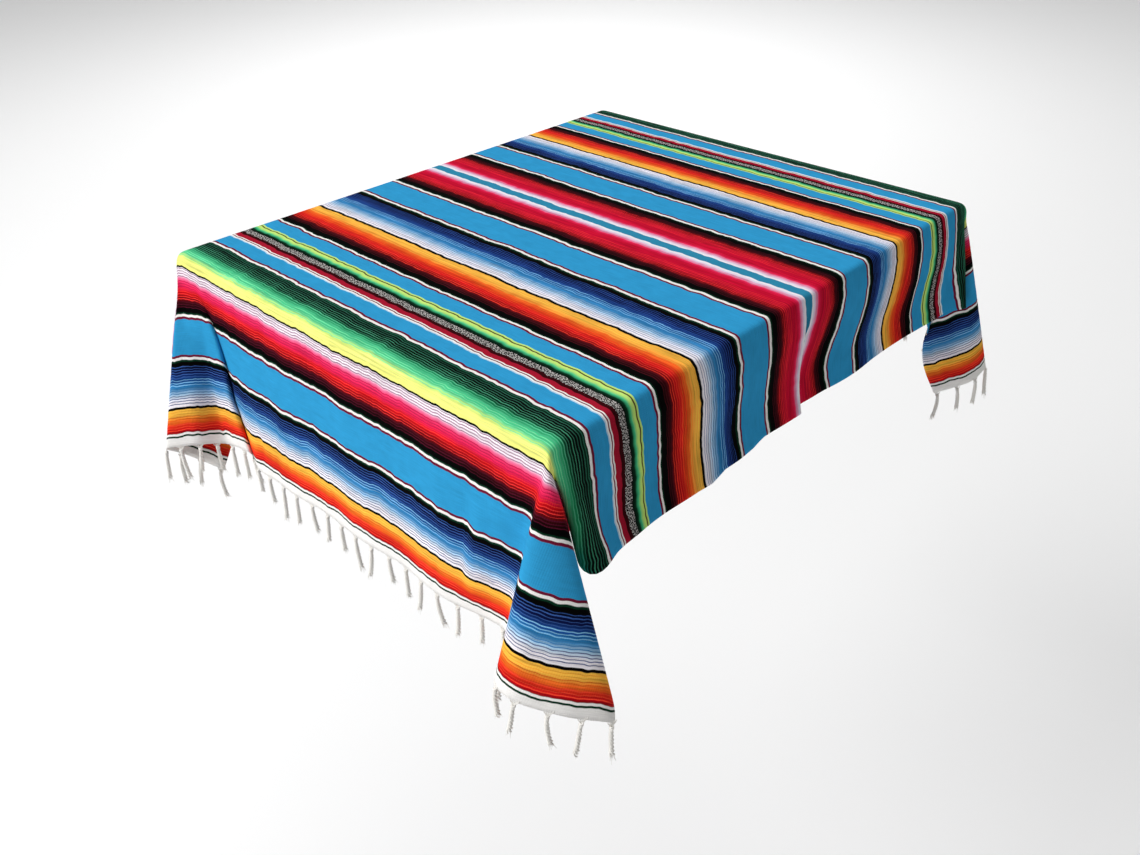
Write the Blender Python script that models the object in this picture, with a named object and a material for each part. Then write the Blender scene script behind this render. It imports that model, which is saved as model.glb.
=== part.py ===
# Mexican serape blanket, draped over a table that is cut away: one woven wall and two knotted fringes.
# Metres, +Z up, X along the blanket's length. The origin is the underside centre of the flat top.
import math
import bmesh
import bpy
import numpy as np

# flat top that the table holds, from its middle to its edges
HALF_X = 0.600
HALF_Y = 0.497
# cloth that hangs below each edge, measured along the cloth
NEAR_DROP = 0.370
FAR_DROP = 0.372
SIDE_DROP = 0.220
# woven wall and the bit of hem that each fringe is rooted in
WALL = 0.002
STRIP_HEIGHT = 0.014
STRIP_GAP = 0.0012
# outward lean of the hanging panels, in degrees
END_LEAN = 6.0
SIDE_LEAN = 8.0
# softness of every bend, measured on the flat cloth
BEND_SPREAD = 0.0052
# distance from a corner over which its folds open out of a plain flare
FOLD_START = 0.15
PLAIN_FLARE = 0.26

# Corner folds: a fan of rays from the table's corner.
# Columns of each row:
# angle in degrees on the flat cloth, 0 is straight down the end panel and 90 straight down the side panel,
# then how far the ray leans out of the side panel and out of the end panel, per metre.
NEAR_RIGHT_FOLDS = (
    (-20.0, -0.31, 0.03),
    (6.0, 0.00, 0.365),
    (12.0, 0.11, 0.35),
    (22.0, 0.25, 0.21),
    (31.0, 0.31, 0.06),
    (47.0, 0.125, -0.11),
    (54.0, 0.02, -0.165),
    (64.0, -0.12, -0.24),
    (70.0, -0.20, -0.31),
    (76.0, -0.19, -0.41),
    (83.0, -0.09, -0.36),
    (93.0, 0.03, -0.22),
    (97.0, 0.12, -0.155),
    (101.0, 0.20, -0.16),
    (104.0, 0.215, -0.235),
    (108.0, 0.17, -0.335),
)
NEAR_LEFT_FOLDS = (
    (-31.0, -0.50, 0.02),
    (-28.0, -0.43, -0.04),
    (-25.0, -0.42, 0.01),
    (-22.0, -0.46, 0.08),
    (-12.0, -0.40, 0.15),
    (0.0, -0.37, 0.30),
    (10.0, -0.26, 0.42),
    (17.0, -0.15, 0.42),
    (23.0, -0.14, 0.35),
    (31.0, -0.25, 0.24),
    (36.0, -0.28, 0.16),
    (42.0, -0.25, 0.08),
    (75.0, 0.25, 0.22),
    (79.0, 0.28, 0.15),
)
FAR_RIGHT_FOLDS = (
    (-16.0, -0.24, 0.22),
    (3.0, 0.17, 0.18),
    (13.0, 0.25, 0.08),
    (24.0, 0.17, -0.01),
    (31.0, 0.07, -0.04),
    (36.0, -0.01, -0.05),
    (48.0, -0.12, -0.03),
    (56.0, -0.18, -0.07),
    (62.0, -0.16, -0.16),
    (70.0, -0.07, -0.20),
    (84.0, 0.09, -0.12),
    (93.0, 0.19, -0.09),
    (100.0, 0.20, -0.15),
)
# which corner each fold table belongs to, with the angles where the plain panels take over
CORNERS = (
    # end sign, side sign, table, end panel until, side panel from
    (-1, -1, NEAR_RIGHT_FOLDS, -28.0, 116.0),
    (-1, 1, NEAR_LEFT_FOLDS, -40.0, 105.0),
    (1, -1, FAR_RIGHT_FOLDS, -60.0, 107.0),
    (1, 1, NEAR_RIGHT_FOLDS, -28.0, 116.0),
)

# Soft waves of the hanging panels. Columns: place along the edge, outward move at the hem.
RIGHT_SIDE_WAVES = (
    (-0.55, 0.0), (-0.47, 0.004), (-0.40, -0.004), (-0.30, 0.002), (-0.20, -0.001), (-0.11, -0.013),
    (-0.02, -0.013), (0.05, -0.017), (0.12, -0.024), (0.22, -0.013), (0.30, -0.018), (0.40, -0.012),
    (0.48, -0.002), (0.55, 0.0),
)
LEFT_SIDE_WAVES = (
    (-0.46, 0.0), (-0.34, -0.012), (-0.22, 0.006), (-0.10, -0.012), (0.03, 0.008), (0.16, -0.010),
    (0.28, 0.007), (0.38, -0.008), (0.46, 0.0),
)
NEAR_END_WAVES = (
    (-0.36, 0.0), (-0.26, 0.006), (-0.17, -0.004), (-0.06, 0.006), (0.05, -0.001), (0.14, 0.009),
    (0.21, 0.004), (0.26, 0.013), (0.32, 0.0),
)
FAR_END_WAVES = (
    (-0.34, 0.0), (-0.24, 0.012), (-0.12, -0.008), (0.02, 0.010), (0.14, -0.008), (0.26, 0.010), (0.36, 0.0),
)

# small upright pleat at the middle stripe of the right side panel
PLEAT_EDGE = 0.0205
PLEAT_HIDDEN = 0.034
PLEAT_GROWS_OVER = 0.125
PLEAT_MOUTH = 0.62
PLEAT_DEPTH = 0.38
PLEAT_FADE_FROM = 0.30
PLEAT_FADE_TO = 0.62

# knotted locks of each fringe
LOCKS = 33
LOCK_LENGTH = 0.074
LOCK_ROOT = 0.0058
ROOT_CLEARANCE = 0.001
LOCK_LEAVES_OVER = 0.016
# down, half width, half depth
LOCK_RINGS = (
    (0.004, 0.0026, 0.0018),
    (0.008, 0.0042, 0.0034),
    (0.013, 0.0040, 0.0033),
    (0.017, 0.0023, 0.0020),
    (0.032, 0.0032, 0.0026),
    (0.055, 0.0034, 0.0024),
    (0.074, 0.0018, 0.0014),
)


def smooth_step(value):
    value = np.clip(value, 0.0, 1.0)
    return value * value * (3.0 - 2.0 * value)


def plain_ray(angle):
    # ray of a corner with no folds: panels lean out a little and the quarter between them flares
    rad = np.radians(angle)
    end_lean = math.sin(math.radians(END_LEAN))
    side_lean = math.sin(math.radians(SIDE_LEAN))
    between = np.clip(angle / 90.0, 0.0, 1.0)
    flare = PLAIN_FLARE * 4.0 * between * (1.0 - between)
    side_out = np.where(angle < 0.0, np.sin(rad), np.sin(rad) * side_lean + flare * np.sin(rad))
    end_out = np.where(angle > 90.0, np.cos(rad), np.cos(rad) * end_lean + flare * np.cos(rad))
    return side_out, end_out


def fold_curve(rows, end_until, side_from):
    # fine table of the ray against the angle, with every fold rounded
    angles = np.arange(-90.0, 180.01, 0.5)
    side_plain, end_plain = plain_ray(angles)
    knots = [angle for angle in angles if angle <= end_until]
    count_end = len(knots)
    knots += [row[0] for row in rows]
    tail = [angle for angle in angles if angle >= side_from]
    knots += tail
    sides = list(side_plain[:count_end]) + [row[1] for row in rows] + list(side_plain[len(angles) - len(tail):])
    ends = list(end_plain[:count_end]) + [row[2] for row in rows] + list(end_plain[len(angles) - len(tail):])
    side_out = np.interp(angles, knots, sides)
    end_out = np.interp(angles, knots, ends)
    kernel = np.ones(7) / 7.0
    for _ in range(2):
        side_out[3:-3] = np.convolve(side_out, kernel, mode="valid")
        end_out[3:-3] = np.convolve(end_out, kernel, mode="valid")
    return angles, side_out, end_out


def wave_at(rows, along):
    places = [row[0] for row in rows]
    moves = [row[1] for row in rows]
    total = np.zeros_like(along)
    for shift in (-0.03, -0.015, 0.0, 0.015, 0.03):
        total += np.interp(along + shift, places, moves)
    return total / 5.0


def raw_point(u, v, curves):
    # sharp-edged drape: flat top, plain panels and fans of folds at the corners
    x = u.copy()
    y = v.copy()
    z = np.zeros_like(u)
    over_end = np.abs(u) - HALF_X
    over_side = np.abs(v) - HALF_Y
    hangs = (over_end > 0.0) | (over_side > 0.0)
    radius = np.hypot(over_end, over_side)
    angle = np.degrees(np.arctan2(over_side, over_end))
    for end_sign, side_sign, (angles, side_table, end_table) in curves:
        mine = hangs & ((u < 0.0) == (end_sign < 0)) & ((v < 0.0) == (side_sign < 0))
        if not mine.any():
            continue
        here = angle[mine]
        far = radius[mine]
        side_out = np.interp(here, angles, side_table)
        end_out = np.interp(here, angles, end_table)
        side_plain, end_plain = plain_ray(here)
        blend = smooth_step(far / FOLD_START)
        side_out = side_plain + (side_out - side_plain) * blend
        end_out = end_plain + (end_out - end_plain) * blend
        down = np.sqrt(np.maximum(1.0 - side_out ** 2 - end_out ** 2, 0.0))
        x[mine] = end_sign * (HALF_X + end_out * far)
        y[mine] = side_sign * (HALF_Y + side_out * far)
        z[mine] = -down * far
    return x, y, z


def cloth_point(u, v, curves):
    # the drape with every bend softened, then the waves and the pleat
    u = np.asarray(u, dtype=float)
    v = np.asarray(v, dtype=float)
    x = np.zeros_like(u)
    y = np.zeros_like(u)
    z = np.zeros_like(u)
    weight_sum = 0.0
    for step_u in range(-3, 4):
        for step_v in range(-3, 4):
            weight = math.exp(-(step_u ** 2 + step_v ** 2) / 4.5)
            px, py, pz = raw_point(u + step_u * BEND_SPREAD, v + step_v * BEND_SPREAD, curves)
            x += weight * px
            y += weight * py
            z += weight * pz
            weight_sum += weight
    x /= weight_sum
    y /= weight_sum
    z /= weight_sum
    # waves grow from the table's edge to the hem
    side_down = np.clip((np.abs(v) - HALF_Y) / SIDE_DROP, 0.0, 1.2)
    end_down = np.clip((np.abs(u) - HALF_X) / NEAR_DROP, 0.0, 1.2)
    side_grow = side_down * (1.6 - 0.6 * side_down) * (end_down <= 0.0)
    end_grow = end_down * (1.4 - 0.4 * end_down) * (side_down <= 0.0)
    y -= side_grow * (v < 0.0) * wave_at(RIGHT_SIDE_WAVES, u)
    y += side_grow * (v > 0.0) * wave_at(LEFT_SIDE_WAVES, u)
    x -= end_grow * (u < 0.0) * wave_at(NEAR_END_WAVES, v)
    x += end_grow * (u > 0.0) * wave_at(FAR_END_WAVES, v)
    # the pleat takes cloth in beside the middle stripe and draws the cloth beyond it over
    below = np.clip(-v - HALF_Y, 0.0, None)
    hidden = PLEAT_HIDDEN * smooth_step(below / PLEAT_GROWS_OVER)
    inside = np.clip((u - PLEAT_EDGE) / PLEAT_HIDDEN, 0.0, 1.0)
    fade = 1.0 - smooth_step((u - PLEAT_FADE_FROM) / (PLEAT_FADE_TO - PLEAT_FADE_FROM))
    on_side = (v < 0.0) & (u < HALF_X)
    x -= on_side * hidden * (1.0 - PLEAT_MOUTH) * inside * fade
    y += on_side * hidden * PLEAT_DEPTH * np.sin(math.pi * inside) ** 2
    return np.stack([x, y, z + WALL / 2.0], axis=-1)


def cloth_normal(u, v, curves):
    # outward side of the cloth: up on the flat top
    step = 0.0015
    along_u = cloth_point(u + step, v, curves) - cloth_point(u - step, v, curves)
    along_v = cloth_point(u, v + step, curves) - cloth_point(u, v - step, curves)
    normal = np.cross(along_u, along_v)
    return normal / np.linalg.norm(normal, axis=-1, keepdims=True)


def grid_lines(stops):
    # places along one direction from (start, end, count) spans that share their ends
    lines = [stops[0][0]]
    for start, end, count in stops:
        lines += [start + (end - start) * (k + 1) / count for k in range(count)]
    return np.array(lines)


def new_object(name, mesh_builder, material):
    mesh = bpy.data.meshes.new(name)
    mesh_builder.to_mesh(mesh)
    mesh_builder.free()
    mesh.materials.append(material)
    item = bpy.data.objects.new(name, mesh)
    bpy.context.scene.collection.objects.link(item)
    return item


def plain_material(name, colour, roughness):
    material = bpy.data.materials.new(name)
    material.use_nodes = True
    shader = material.node_tree.nodes["Principled BSDF"]
    shader.inputs["Base Color"].default_value = (colour[0], colour[1], colour[2], 1.0)
    shader.inputs["Roughness"].default_value = roughness
    return material


def wall_places(us, vs, curves):
    grid_u, grid_v = np.meshgrid(us, vs, indexing="ij")
    return cloth_point(grid_u, grid_v, curves), cloth_normal(grid_u, grid_v, curves)


def between_lines(values, vs, places):
    # rows of points at further places, straight between the ones at the cloth's own lines
    rows = [np.stack([np.interp(places, vs, row[:, axis]) for axis in range(3)], axis=-1) for row in values]
    return np.array(rows)


def add_wall(mesh, middle, normal):
    # closed wall over a grid of places; gives back its outer and inner vertex grids
    rows, columns = middle.shape[0], middle.shape[1]
    outer = [[mesh.verts.new(middle[i, j] + normal[i, j] * WALL / 2.0) for j in range(columns)]
             for i in range(rows)]
    inner = [[mesh.verts.new(middle[i, j] - normal[i, j] * WALL / 2.0) for j in range(columns)]
             for i in range(rows)]
    for i in range(rows - 1):
        for j in range(columns - 1):
            mesh.faces.new((outer[i][j], outer[i + 1][j], outer[i + 1][j + 1], outer[i][j + 1]))
            mesh.faces.new((inner[i][j], inner[i][j + 1], inner[i + 1][j + 1], inner[i + 1][j]))
    last = rows - 1
    for j in range(columns - 1):
        mesh.faces.new((outer[0][j], outer[0][j + 1], inner[0][j + 1], inner[0][j]))
        mesh.faces.new((outer[last][j + 1], outer[last][j], inner[last][j], inner[last][j + 1]))
    side = columns - 1
    for i in range(rows - 1):
        mesh.faces.new((outer[i + 1][0], outer[i][0], inner[i][0], inner[i + 1][0]))
        mesh.faces.new((outer[i][side], outer[i + 1][side], inner[i + 1][side], inner[i][side]))
    return outer, inner


def side_lines():
    # places across the blanket, closest where the folds are
    edge = HALF_Y + SIDE_DROP
    return grid_lines((
        (-edge, -HALF_Y - 0.028, 9), (-HALF_Y - 0.028, -HALF_Y + 0.028, 4), (-HALF_Y + 0.028, -0.32, 6),
        (-0.32, 0.26, 3), (0.26, 0.36, 6), (0.36, HALF_Y - 0.028, 5), (HALF_Y - 0.028, HALF_Y + 0.028, 4),
        (HALF_Y + 0.028, edge, 9),
    ))


def make_cloth(curves):
    near = -HALF_X - NEAR_DROP + STRIP_HEIGHT
    far = HALF_X + FAR_DROP - STRIP_HEIGHT
    us = grid_lines((
        (near, -HALF_X - 0.028, 14), (-HALF_X - 0.028, -HALF_X + 0.028, 4), (-HALF_X + 0.028, -0.50, 3),
        (-0.50, 0.012, 6), (0.012, 0.064, 8), (0.064, 0.50, 6), (0.50, HALF_X - 0.028, 3),
        (HALF_X - 0.028, HALF_X + 0.028, 4), (HALF_X + 0.028, far, 13),
    ))
    mesh = bmesh.new()
    middle, normal = wall_places(us, side_lines(), curves)
    add_wall(mesh, middle, normal)
    return new_object("blanket_cloth", mesh, plain_material("woven_cloth", (0.10, 0.36, 0.62), 0.9))


def lock_sway(index, end_sign):
    # small repeatable lean of one lock
    turn = index * 2.399 + (0.7 if end_sign > 0 else 0.0)
    return math.sin(turn) * 0.006, math.cos(turn * 1.7) * 0.005


def lock_roots(lines):
    # evenly spread roots, each moved off a line of the cloth that would cut through it
    edge = HALF_Y + SIDE_DROP
    pitch = (2.0 * edge - LOCK_ROOT * 2.0) / (LOCKS - 1)
    room = LOCK_ROOT / 2.0 + ROOT_CLEARANCE
    roots = []
    for k in range(LOCKS):
        root = -edge + LOCK_ROOT + k * pitch
        line = min(lines, key=lambda place: abs(place - root))
        if abs(root - line) < room:
            root = line + math.copysign(room, root - line)
        roots.append(root)
    return roots


def make_fringe(name, end_sign, drop, curves):
    # a narrow strip of hem with the knotted locks drawn out of its lower rim
    hem = end_sign * (HALF_X + drop)
    top = hem - end_sign * (STRIP_HEIGHT - STRIP_GAP)
    lines = side_lines()
    ends = [root + side * LOCK_ROOT / 2.0 for root in lock_roots(lines) for side in (-1.0, 1.0)]
    places = sorted(list(lines) + ends)
    us = np.array([top, hem] if end_sign > 0 else [hem, top])
    middle, normal = wall_places(us, lines, curves)
    mesh = bmesh.new()
    middle = between_lines(middle, lines, places)
    outer, inner = add_wall(mesh, middle, between_lines(normal, lines, places))
    rim = 1 if end_sign > 0 else 0
    for k in range(LOCKS):
        j = places.index(ends[2 * k])
        ring = [outer[rim][j], outer[rim][j + 1], inner[rim][j + 1], inner[rim][j]]
        if end_sign > 0:
            ring = [ring[1], ring[0], ring[3], ring[2]]
        root_face = mesh.faces.get(ring)
        mesh.faces.remove(root_face)
        leave = middle[rim, j] - middle[1 - rim, j]
        draw_lock(mesh, ring, leave / np.linalg.norm(leave), lock_sway(k, end_sign))
    mesh.normal_update()
    return new_object(name, mesh, plain_material("white_yarn_" + name, (0.86, 0.85, 0.80), 0.85))


def draw_lock(mesh, ring, leave, sway):
    # rings leave along the cloth, soon hang straight down, and keep the rim's turn about the upright
    corners = [np.array(vertex.co) for vertex in ring]
    root = sum(corners) / 4.0
    across = (corners[1] + corners[2] - corners[0] - corners[3]) / 2.0
    across[2] = 0.0
    across /= np.linalg.norm(across)
    deep = np.array((-across[1], across[0], 0.0))
    towards = (corners[0] + corners[1] - corners[2] - corners[3]) / 2.0
    if float(np.dot(deep, towards)) < 0.0:
        deep = -deep
    upper = ring
    for down, half_width, half_depth in LOCK_RINGS:
        part = down / LOCK_LENGTH
        along = LOCK_LEAVES_OVER * (1.0 - math.exp(-down / LOCK_LEAVES_OVER))
        middle = root + leave * along + across * sway[0] * part ** 2 + deep * sway[1] * part ** 2
        middle[2] -= down - along
        spots = (
            middle - across * half_width + deep * half_depth, middle + across * half_width + deep * half_depth,
            middle + across * half_width - deep * half_depth, middle - across * half_width - deep * half_depth,
        )
        lower = [mesh.verts.new(spot) for spot in spots]
        for k in range(4):
            mesh.faces.new((upper[k], upper[(k + 1) % 4], lower[(k + 1) % 4], lower[k]))
        upper = lower
    mesh.faces.new(upper)


def build():
    for item in list(bpy.data.objects):
        bpy.data.objects.remove(item)
    curves = [(end_sign, side_sign, fold_curve(rows, end_until, side_from))
              for end_sign, side_sign, rows, end_until, side_from in CORNERS]
    make_cloth(curves)
    make_fringe("near_fringe", -1, NEAR_DROP, curves)
    make_fringe("far_fringe", 1, FAR_DROP, curves)


build()
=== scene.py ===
import math
import bpy
import numpy as np
from mathutils import Matrix, Vector


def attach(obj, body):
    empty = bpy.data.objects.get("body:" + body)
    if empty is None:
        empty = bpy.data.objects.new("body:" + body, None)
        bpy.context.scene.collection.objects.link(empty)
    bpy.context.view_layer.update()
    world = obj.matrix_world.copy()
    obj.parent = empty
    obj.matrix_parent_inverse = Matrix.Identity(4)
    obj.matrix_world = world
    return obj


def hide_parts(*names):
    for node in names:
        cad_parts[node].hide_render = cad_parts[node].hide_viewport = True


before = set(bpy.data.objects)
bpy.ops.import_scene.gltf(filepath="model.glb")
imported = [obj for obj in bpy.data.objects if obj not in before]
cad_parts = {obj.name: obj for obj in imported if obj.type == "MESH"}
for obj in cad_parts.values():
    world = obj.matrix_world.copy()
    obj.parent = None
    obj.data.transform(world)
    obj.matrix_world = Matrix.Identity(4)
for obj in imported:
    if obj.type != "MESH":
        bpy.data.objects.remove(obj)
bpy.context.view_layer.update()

# flat top that the table holds, and the cloth that hangs below each edge, measured along the cloth
HALF_X = 0.600
HALF_Y = 0.497
NEAR_DROP = 0.370
FAR_DROP = 0.372
SIDE_DROP = 0.220
WALL = 0.0018
# outward lean of the hanging panels, in degrees
END_LEAN = 6.0
SIDE_LEAN = 8.0
# Softness of every bend: step of the averaging on the flat cloth, how many steps to each side, and how
# slowly they count less.
BEND_SPREAD = 0.0060
BEND_STEPS = 3
BEND_FALLOFF = 4.5
# half width of the stretch round the table's edge where the shell's grid is finer
BEND_ZONE = 0.028

# Corner folds: a fan of rays from the table's corner.
# Columns of each row:
# angle in degrees on the flat cloth, 0 is straight down the end panel and 90 straight down the side panel,
# then how far the ray leans out of the side panel and out of the end panel, per metre.
NEAR_RIGHT_FOLDS = (
    (-24.0, -0.40, 0.075),
    (-13.0, -0.215, 0.055),
    (5.0, 0.00, 0.351),
    (12.0, 0.11, 0.35),
    (22.0, 0.27, 0.21),
    (31.0, 0.355, 0.05),
    (47.0, 0.125, -0.11),
    (54.0, 0.02, -0.165),
    (64.0, -0.12, -0.24),
    (70.0, -0.20, -0.31),
    (76.0, -0.19, -0.41),
    (83.0, -0.09, -0.36),
    (93.0, 0.015, -0.20),
    (97.0, 0.15, -0.13),
    (101.0, 0.235, -0.14),
    (104.0, 0.245, -0.215),
    (108.0, 0.20, -0.32),
)
NEAR_LEFT_FOLDS = (
    (-29.0, -0.46, 0.053),
    (-25.0, -0.556, 0.114),
    (-12.0, -0.40, 0.15),
    (0.0, -0.37, 0.30),
    (12.0, -0.24, 0.425),
    (20.0, -0.225, 0.30),
    (31.0, -0.353, 0.173),
    (36.0, -0.375, 0.095),
    (42.0, -0.29, 0.02),
    (75.0, 0.20, 0.19),
    (79.0, 0.22, 0.13),
)
FAR_RIGHT_FOLDS = (
    (-45.0, -0.68, 0.13),
    (-30.0, -0.51, 0.28),
    (-21.0, -0.39, 0.32),
    (-14.0, -0.19, 0.33),
    (6.0, 0.16, 0.20),
    (12.0, 0.25, 0.14),
    (20.0, 0.225, 0.00),
    (31.0, 0.04, -0.06),
    (36.0, -0.05, -0.07),
    (42.0, -0.124, 0.018),
    (48.0, -0.064, -0.064),
    (56.0, -0.153, -0.044),
    (62.0, -0.16, -0.16),
    (70.0, -0.07, -0.20),
    (84.0, 0.10, -0.14),
    (92.0, 0.22, -0.05),
    (99.0, 0.25, -0.13),
)
# Columns: end sign, side sign, fold table, end panel until this angle, side panel from this angle,
# how far from the corner the folds open out of a plain flare, how wide that flare is,
# and by how many degrees the end panel's folds start further along the table's edge.
CORNERS = (
    (-1, -1, NEAR_RIGHT_FOLDS, -28.0, 116.0, 0.085, 0.26, 0.0),
    (-1, 1, NEAR_LEFT_FOLDS, -33.0, 105.0, 0.160, 0.12, 24.0),
    (1, -1, FAR_RIGHT_FOLDS, -60.0, 107.0, 0.075, 0.20, 0.0),
    (1, 1, NEAR_RIGHT_FOLDS, -28.0, 116.0, 0.060, 0.26, 0.0),
)
# the shift of those starts fades over this distance from the corner and grows over this angle
FOLD_SKEW_OVER = 0.30
FOLD_SKEW_ANGLE = 25.0
# step of the fine table of folds in degrees, and how many of its steps are averaged to round a fold
FOLD_STEP = 0.5
FOLD_ROUNDING = 7

# Soft waves of the hanging panels. Columns: place along the edge, outward move at the hem.
RIGHT_SIDE_WAVES = (
    (-0.55, 0.0), (-0.47, 0.004), (-0.40, -0.004), (-0.30, 0.002), (-0.20, -0.001), (-0.11, -0.013),
    (-0.02, -0.013), (0.05, -0.017), (0.12, -0.024), (0.22, -0.013), (0.30, -0.018), (0.40, -0.012),
    (0.48, -0.002), (0.55, 0.0),
)
LEFT_SIDE_WAVES = (
    (-0.46, 0.0), (-0.34, -0.012), (-0.22, 0.006), (-0.10, -0.012), (0.03, 0.008), (0.16, -0.010),
    (0.28, 0.007), (0.38, -0.008), (0.46, 0.0),
)
NEAR_END_WAVES = (
    (-0.36, 0.0), (-0.26, 0.006), (-0.17, -0.004), (-0.06, 0.006), (0.05, -0.001), (0.14, 0.009),
    (0.21, 0.004), (0.26, 0.013), (0.32, 0.0),
)
FAR_END_WAVES = (
    (-0.34, 0.0), (-0.24, 0.012), (-0.12, -0.008), (0.02, 0.010), (0.14, -0.008), (0.26, 0.010),
    (0.36, 0.0),
)
# shifts over which the waves are averaged, and how much faster than evenly they grow at the table's edge
WAVE_SHIFTS = (-0.03, -0.015, 0.0, 0.015, 0.03)
SIDE_WAVE_BEND = 0.6
END_WAVE_BEND = 0.4
# share of the drop, a little past the hem, at which the waves, the hang and the rise stop growing
PAST_HEM = 1.2

# S-shaped hang of both side panels. Columns: share of the drop, outward move.
SIDE_HANG = ((0.0, 0.003), (0.28, 0.006), (0.50, 0.0), (0.74, -0.006), (1.0, 0.002), (1.2, 0.008))
HANG_SHIFTS = (-0.14, -0.07, 0.0, 0.07, 0.14)
# share of the drop over which the hang starts, and distance to the panel's ends over which it dies out
HANG_STARTS_OVER = 0.2
HANG_ENDS_OVER = 0.10
# where the right side's hem hangs higher or lower. Columns: place along the edge, rise at the hem.
RIGHT_HEM_RISE = (
    (-0.30, 0.0), (-0.26, -0.004), (-0.225, 0.006), (-0.18, 0.0), (-0.13, -0.003), (-0.105, 0.003),
    (-0.02, -0.004), (0.0205, -0.008), (0.0545, 0.009), (0.10, 0.003), (0.16, 0.0),
    (0.30, 0.003), (0.45, 0.009), (0.54, 0.010), (0.60, 0.0),
)
HEM_RISE_POWER = 1.5

# Soft creases of the hanging panels and the top, placed one by one.
# Columns: panel, place along its edge and below it (on the top: place across the cloth and along it),
# direction in degrees from straight down (on the top: from straight along), length, half width and
# outward height. All but the direction are in metres.
CREASES = (
    ("near", -0.355, 0.250, 6.0, 0.260, 0.016, 0.0050),
    ("near", -0.325, 0.235, 4.0, 0.230, 0.012, -0.0040),
    ("near", -0.270, 0.170, -8.0, 0.190, 0.020, 0.0030),
    ("near", -0.120, 0.230, 10.0, 0.240, 0.026, -0.0045),
    ("near", -0.020, 0.150, -5.0, 0.150, 0.018, 0.0028),
    ("near", 0.085, 0.260, 12.0, 0.200, 0.024, -0.0040),
    ("near", 0.175, 0.190, -14.0, 0.220, 0.018, 0.0040),
    ("near", 0.255, 0.290, -20.0, 0.180, 0.015, -0.0045),
    ("right", -0.475, 0.120, 7.0, 0.170, 0.013, -0.0045),
    ("right", -0.430, 0.150, -6.0, 0.130, 0.011, 0.0035),
    ("right", -0.345, 0.100, 4.0, 0.120, 0.017, -0.0030),
    ("right", -0.235, 0.140, 9.0, 0.150, 0.014, 0.0040),
    ("right", -0.190, 0.165, -5.0, 0.110, 0.012, -0.0045),
    ("right", -0.095, 0.110, 3.0, 0.140, 0.018, 0.0028),
    ("right", 0.120, 0.120, -7.0, 0.160, 0.015, -0.0040),
    ("right", 0.190, 0.150, 5.0, 0.130, 0.013, 0.0036),
    ("right", 0.300, 0.095, -4.0, 0.120, 0.016, -0.0030),
    ("right", 0.405, 0.140, 8.0, 0.150, 0.012, 0.0038),
    ("left", -0.385, 0.130, -8.0, 0.170, 0.015, 0.0045),
    ("left", -0.270, 0.150, 5.0, 0.130, 0.012, -0.0040),
    ("left", -0.160, 0.110, 10.0, 0.160, 0.018, 0.0035),
    ("left", -0.050, 0.140, -4.0, 0.140, 0.014, -0.0045),
    ("left", 0.085, 0.120, 6.0, 0.180, 0.016, 0.0030),
    ("left", 0.215, 0.155, -11.0, 0.120, 0.012, 0.0042),
    ("left", 0.330, 0.120, 4.0, 0.150, 0.017, -0.0038),
    ("far", -0.290, 0.240, 7.0, 0.250, 0.018, 0.0050),
    ("far", -0.190, 0.180, -9.0, 0.200, 0.015, -0.0042),
    ("far", -0.075, 0.250, 4.0, 0.220, 0.022, 0.0038),
    ("far", 0.060, 0.200, -6.0, 0.240, 0.017, -0.0048),
    ("far", 0.180, 0.260, 13.0, 0.180, 0.020, 0.0042),
    ("far", 0.300, 0.220, -5.0, 0.210, 0.015, -0.0036),
    ("top", 0.180, -0.480, 18.0, 0.300, 0.020, 0.0011),
    ("top", -0.240, -0.350, -35.0, 0.220, 0.016, 0.0009),
    ("top", 0.090, -0.130, 52.0, 0.260, 0.022, 0.0010),
    ("top", -0.290, 0.040, 24.0, 0.200, 0.018, 0.0008),
    ("top", 0.240, 0.210, -20.0, 0.320, 0.024, 0.0012),
    ("top", -0.060, 0.330, 70.0, 0.240, 0.017, 0.0009),
    ("top", 0.330, 0.470, 12.0, 0.210, 0.019, 0.0010),
)
# a crease dies out over this distance towards the table's edge
CREASE_FADE = 0.05

# Small upright pleat at the middle stripe of the right side panel: where it starts along the panel, the
# distance below the edge over which it grows, how deep it sinks as a share of its cloth, and how far the
# cloth beyond it lies under it and over what distance that fades.
PLEAT_EDGE = 0.0205
PLEAT_GROWS_OVER = 0.12
PLEAT_DEPTH = 0.60
PLEAT_UNDER = 0.13
PLEAT_UNDER_FADE = 0.05
# how much cloth the pleat takes in. Columns: metres below the edge, metres of cloth.
PLEAT_WIDTH = ((0.0, 0.0235), (0.10, 0.0235), (0.17, 0.034), (0.30, 0.034))
# How far the pleat's mouth stands open; below nought its far side laps over.
# Columns: metres below the edge, share of the hidden cloth.
PLEAT_MOUTH = (
    (0.0, 0.0), (0.06, 0.06), (0.09, 0.13), (0.118, 0.17), (0.14, 0.04), (0.168, -0.14), (0.30, -0.14),
)
# how much of the pleat's draw reaches the cloth beyond it. Columns: place along the panel, share.
PLEAT_DRAW = ((0.055, 1.0), (0.14, 0.78), (0.27, 0.60), (0.40, 0.52), (0.50, 0.32), (0.60, 0.0))
# how much lower the draw starts beyond the pleat, and the distance over which that comes in
PLEAT_LAG = 0.055
PLEAT_LAG_OVER = 0.12

# flat layout of the cloth's two faces, one above the other in one texture square
UV_SCALE = 0.334
UV_EDGE = 0.01
UV_BACK = 0.492

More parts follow.
